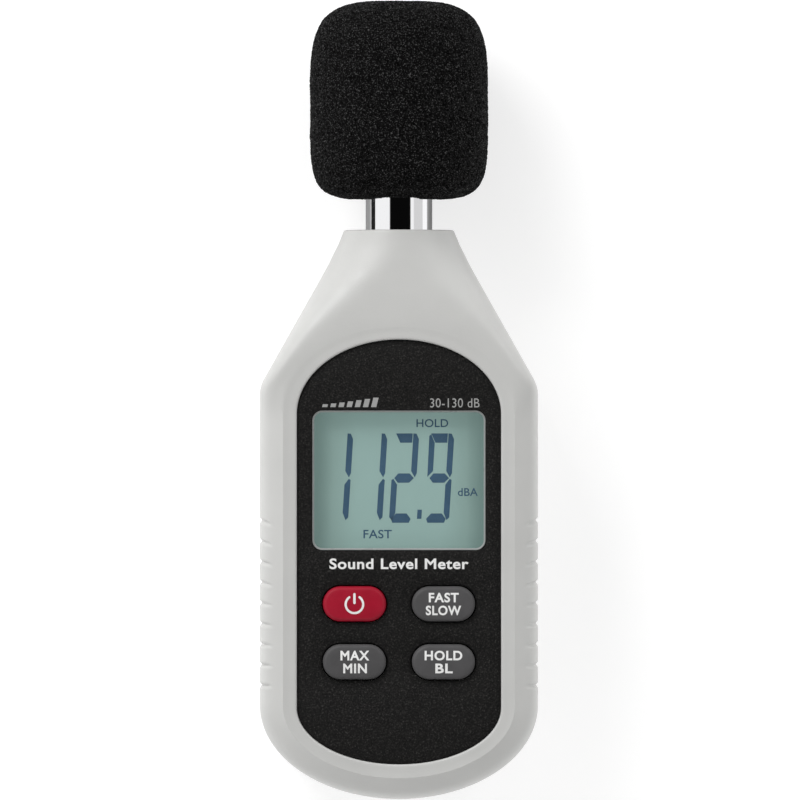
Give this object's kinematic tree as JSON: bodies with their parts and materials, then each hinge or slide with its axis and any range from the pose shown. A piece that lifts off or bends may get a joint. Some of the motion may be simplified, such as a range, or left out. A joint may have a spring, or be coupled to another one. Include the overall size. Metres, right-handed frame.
{
  "type": "sound level meter",
  "caption": "Hand-held digital sound level meter with tapered case, LCD window, push keys, half-inch microphone barrel and foam windscreen.",
  "frame": {"origin": "middle of the footprint on the plane of the case's back, with the meter lying on its back", "axes": "+Y along the meter towards the microphone, +Z out of the display, +X to the right of someone reading the display"},
  "size_m": [0.053, 0.152, 0.0342],
  "materials": {
    "case_plastic": "satin",
    "panel_film": "satin",
    "clear_lens": "gloss",
    "display_glass": "gloss",
    "white_plastic": "satin",
    "dark_rubber": "matte",
    "board": "satin",
    "black_plastic": "matte",
    "blue_plastic": "gloss",
    "key_red": "satin",
    "key_grey": "satin",
    "chrome_barrel": "polished",
    "steel": "satin",
    "brass": "satin",
    "foam": "matte",
    "wire_red": "satin",
    "cell_wrap": "satin"
  },
  "bodies": {
    "case": {"front_shell": "case_plastic", "rear_shell": "case_plastic", "panel_overlay": "panel_film", "window_lens": "clear_lens", "lcd_glass": "display_glass", "lcd_frame": "white_plastic", "lcd_backlight": "white_plastic", "zebra_strips": "dark_rubber", "main_pcb": "board", "pcb_chips": "black_plastic", "pcb_capacitors": "blue_plastic", "trim_pot": "blue_plastic", "keypad_mat": "dark_rubber", "mic_barrel": "chrome_barrel", "mic_grid": "chrome_barrel", "mic_capsule": "steel", "mic_bush": "dark_rubber", "barrel_nut": "brass", "mic_leads": "wire_red", "battery_cell_left": "cell_wrap", "battery_cell_middle": "cell_wrap", "battery_cell_right": "cell_wrap", "battery_springs": "steel", "battery_contacts": "steel", "case_screws": "steel", "tripod_insert": "brass"},
    "power_key": {"button_power": "key_red"},
    "response_key": {"button_response": "key_grey"},
    "max_min_key": {"button_max_min": "key_grey"},
    "hold_key": {"button_hold": "key_grey"},
    "windscreen": {"windscreen": "foam"},
    "battery_door": {"battery_door": "case_plastic"}
  },
  "joints": [
    {"name": "power_key_press", "type": "slide", "parent": "case", "child": "power_key", "axis": [0, 0, -1], "range_m": [0, 0.001], "stiffness_N_per_m": 900, "springref_m": -0.0005},
    {"name": "response_key_press", "type": "slide", "parent": "case", "child": "response_key", "axis": [0, 0, -1], "range_m": [0, 0.001], "stiffness_N_per_m": 900, "springref_m": -0.0005},
    {"name": "max_min_key_press", "type": "slide", "parent": "case", "child": "max_min_key", "axis": [0, 0, -1], "range_m": [0, 0.001], "stiffness_N_per_m": 900, "springref_m": -0.0005},
    {"name": "hold_key_press", "type": "slide", "parent": "case", "child": "hold_key", "axis": [0, 0, -1], "range_m": [0, 0.001], "stiffness_N_per_m": 900, "springref_m": -0.0005},
    {"name": "windscreen_pull", "type": "slide", "parent": "case", "child": "windscreen", "axis": [0, 1, 0], "range_m": [0, 0.036]},
    {"name": "battery_door_hinge", "type": "hinge", "parent": "case", "child": "battery_door", "pos_m": [0, -0.0138, 0.0003], "axis": [1, 0, 0], "range_deg": [0, 60]}
  ]
}
